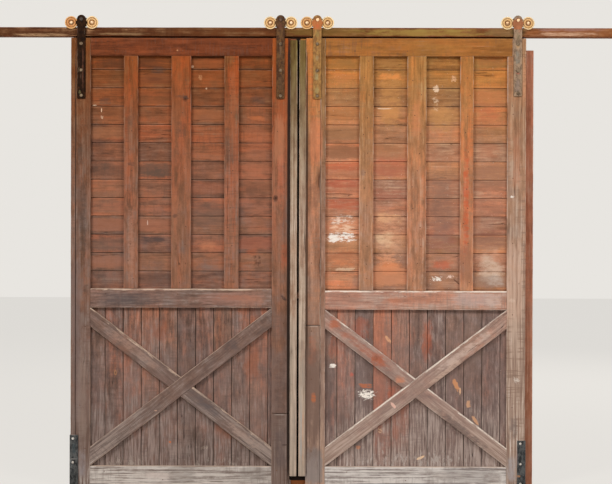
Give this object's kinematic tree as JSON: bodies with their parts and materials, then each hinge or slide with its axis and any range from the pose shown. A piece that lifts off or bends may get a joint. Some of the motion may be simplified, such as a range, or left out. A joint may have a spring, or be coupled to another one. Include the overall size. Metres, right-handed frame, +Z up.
{
  "type": "double sliding barn door",
  "caption": "Pair of boarded sliding barn doors with braced lower panels, hung by strap hangers and flanged wheels from a timber rail.",
  "frame": {"origin": "middle of the ledger's back face, at half the rail's height", "axes": "+X to the right along the rail, +Y into the wall, +Z up; the front looks along -Y"},
  "size_m": [4.16, 0.0765, 2.1665],
  "materials": {
    "rail_timber": "weathered timber, brown with tan streaks",
    "hidden_timber": "sawn timber",
    "casing_wood": "faded red-brown stain",
    "red_wood": "worn red-brown stain over bare grey wood",
    "board_wood": "worn red-brown stain",
    "grey_wood": "bare grey weathered wood",
    "strap_steel": "blackened steel with rust",
    "bolt_steel": "dull rusty steel",
    "bright_steel": "worn zinc plate",
    "wheel_nylon": "yellowed cream nylon"
  },
  "bodies": {
    "frame": {"running_rail": "rail_timber", "rail_ledger": "hidden_timber", "head_casing": "casing_wood", "jamb_left": "casing_wood", "jamb_right": "casing_wood", "end_stop_left": "rail_timber", "end_stop_right": "rail_timber"},
    "left_leaf": {"left_outer_stile": "red_wood", "left_inner_stile": "red_wood", "left_top_rail": "red_wood", "left_mid_rail": "red_wood", "left_bottom_rail": "red_wood", "left_inner_batten": "red_wood", "left_middle_batten": "red_wood", "left_outer_batten": "red_wood", "left_long_brace": "red_wood", "left_upper_short_brace": "red_wood", "left_lower_short_brace": "red_wood", "left_upper_boards": "board_wood", "left_lower_boards": "board_wood", "left_meeting_strip": "grey_wood", "left_edge_strip": "red_wood", "left_inner_hanger": "strap_steel", "left_outer_hanger": "strap_steel", "left_corner_strap": "strap_steel", "left_inner_bogie": "strap_steel", "left_outer_bogie": "strap_steel", "left_axle_bolts": "bright_steel", "left_hanger_bolts": "bolt_steel", "left_corner_screws": "bolt_steel"},
    "left_wheel_1": {"left_wheel_1": "wheel_nylon"},
    "left_wheel_2": {"left_wheel_2": "wheel_nylon"},
    "left_wheel_3": {"left_wheel_3": "wheel_nylon"},
    "left_wheel_4": {"left_wheel_4": "wheel_nylon"},
    "right_leaf": {"right_outer_stile": "red_wood", "right_inner_stile": "red_wood", "right_top_rail": "red_wood", "right_mid_rail": "red_wood", "right_bottom_rail": "red_wood", "right_inner_batten": "red_wood", "right_middle_batten": "red_wood", "right_outer_batten": "red_wood", "right_long_brace": "red_wood", "right_upper_short_brace": "red_wood", "right_lower_short_brace": "red_wood", "right_upper_boards": "board_wood", "right_lower_boards": "board_wood", "right_meeting_strip": "grey_wood", "right_inner_hanger": "strap_steel", "right_outer_hanger": "strap_steel", "right_corner_strap": "strap_steel", "right_inner_bogie": "strap_steel", "right_outer_bogie": "strap_steel", "right_axle_bolts": "bright_steel", "right_hanger_bolts": "bolt_steel", "right_corner_screws": "bolt_steel"},
    "right_wheel_1": {"right_wheel_1": "wheel_nylon"},
    "right_wheel_2": {"right_wheel_2": "wheel_nylon"},
    "right_wheel_3": {"right_wheel_3": "wheel_nylon"},
    "right_wheel_4": {"right_wheel_4": "wheel_nylon"}
  },
  "joints": [
    {"name": "left_leaf_slide", "type": "slide", "parent": "frame", "child": "left_leaf", "axis": [-1, 0, 0], "range_m": [0, 0.9685]},
    {"name": "left_wheel_1_spin", "type": "hinge", "parent": "left_leaf", "child": "left_wheel_1", "pos_m": [-0.0335, 0, 0.0413], "axis": [0, 1, 0], "continuous": true},
    {"name": "left_wheel_2_spin", "type": "hinge", "parent": "left_leaf", "child": "left_wheel_2", "pos_m": [-0.1285, 0, 0.0413], "axis": [0, 1, 0], "continuous": true},
    {"name": "left_wheel_3_spin", "type": "hinge", "parent": "left_leaf", "child": "left_wheel_3", "pos_m": [-0.9455, 0, 0.0413], "axis": [0, 1, 0], "continuous": true},
    {"name": "left_wheel_4_spin", "type": "hinge", "parent": "left_leaf", "child": "left_wheel_4", "pos_m": [-1.0405, 0, 0.0413], "axis": [0, 1, 0], "continuous": true},
    {"name": "right_leaf_slide", "type": "slide", "parent": "frame", "child": "right_leaf", "axis": [1, 0, 0], "range_m": [0, 0.9575]},
    {"name": "right_wheel_1_spin", "type": "hinge", "parent": "right_leaf", "child": "right_wheel_1", "pos_m": [0.0395, 0, 0.0413], "axis": [0, 1, 0], "continuous": true},
    {"name": "right_wheel_2_spin", "type": "hinge", "parent": "right_leaf", "child": "right_wheel_2", "pos_m": [0.1345, 0, 0.0413], "axis": [0, 1, 0], "continuous": true},
    {"name": "right_wheel_3_spin", "type": "hinge", "parent": "right_leaf", "child": "right_wheel_3", "pos_m": [0.9565, 0, 0.0413], "axis": [0, 1, 0], "continuous": true},
    {"name": "right_wheel_4_spin", "type": "hinge", "parent": "right_leaf", "child": "right_wheel_4", "pos_m": [1.0515, 0, 0.0413], "axis": [0, 1, 0], "continuous": true}
  ],
  "couplings": [
    {"joint": "left_wheel_1_spin", "follows": "left_leaf_slide", "rad_per_m": -48.78},
    {"joint": "left_wheel_2_spin", "follows": "left_leaf_slide", "rad_per_m": -48.78},
    {"joint": "left_wheel_3_spin", "follows": "left_leaf_slide", "rad_per_m": -48.78},
    {"joint": "left_wheel_4_spin", "follows": "left_leaf_slide", "rad_per_m": -48.78},
    {"joint": "right_wheel_1_spin", "follows": "right_leaf_slide", "rad_per_m": 48.78},
    {"joint": "right_wheel_2_spin", "follows": "right_leaf_slide", "rad_per_m": 48.78},
    {"joint": "right_wheel_3_spin", "follows": "right_leaf_slide", "rad_per_m": 48.78},
    {"joint": "right_wheel_4_spin", "follows": "right_leaf_slide", "rad_per_m": 48.78}
  ]
}
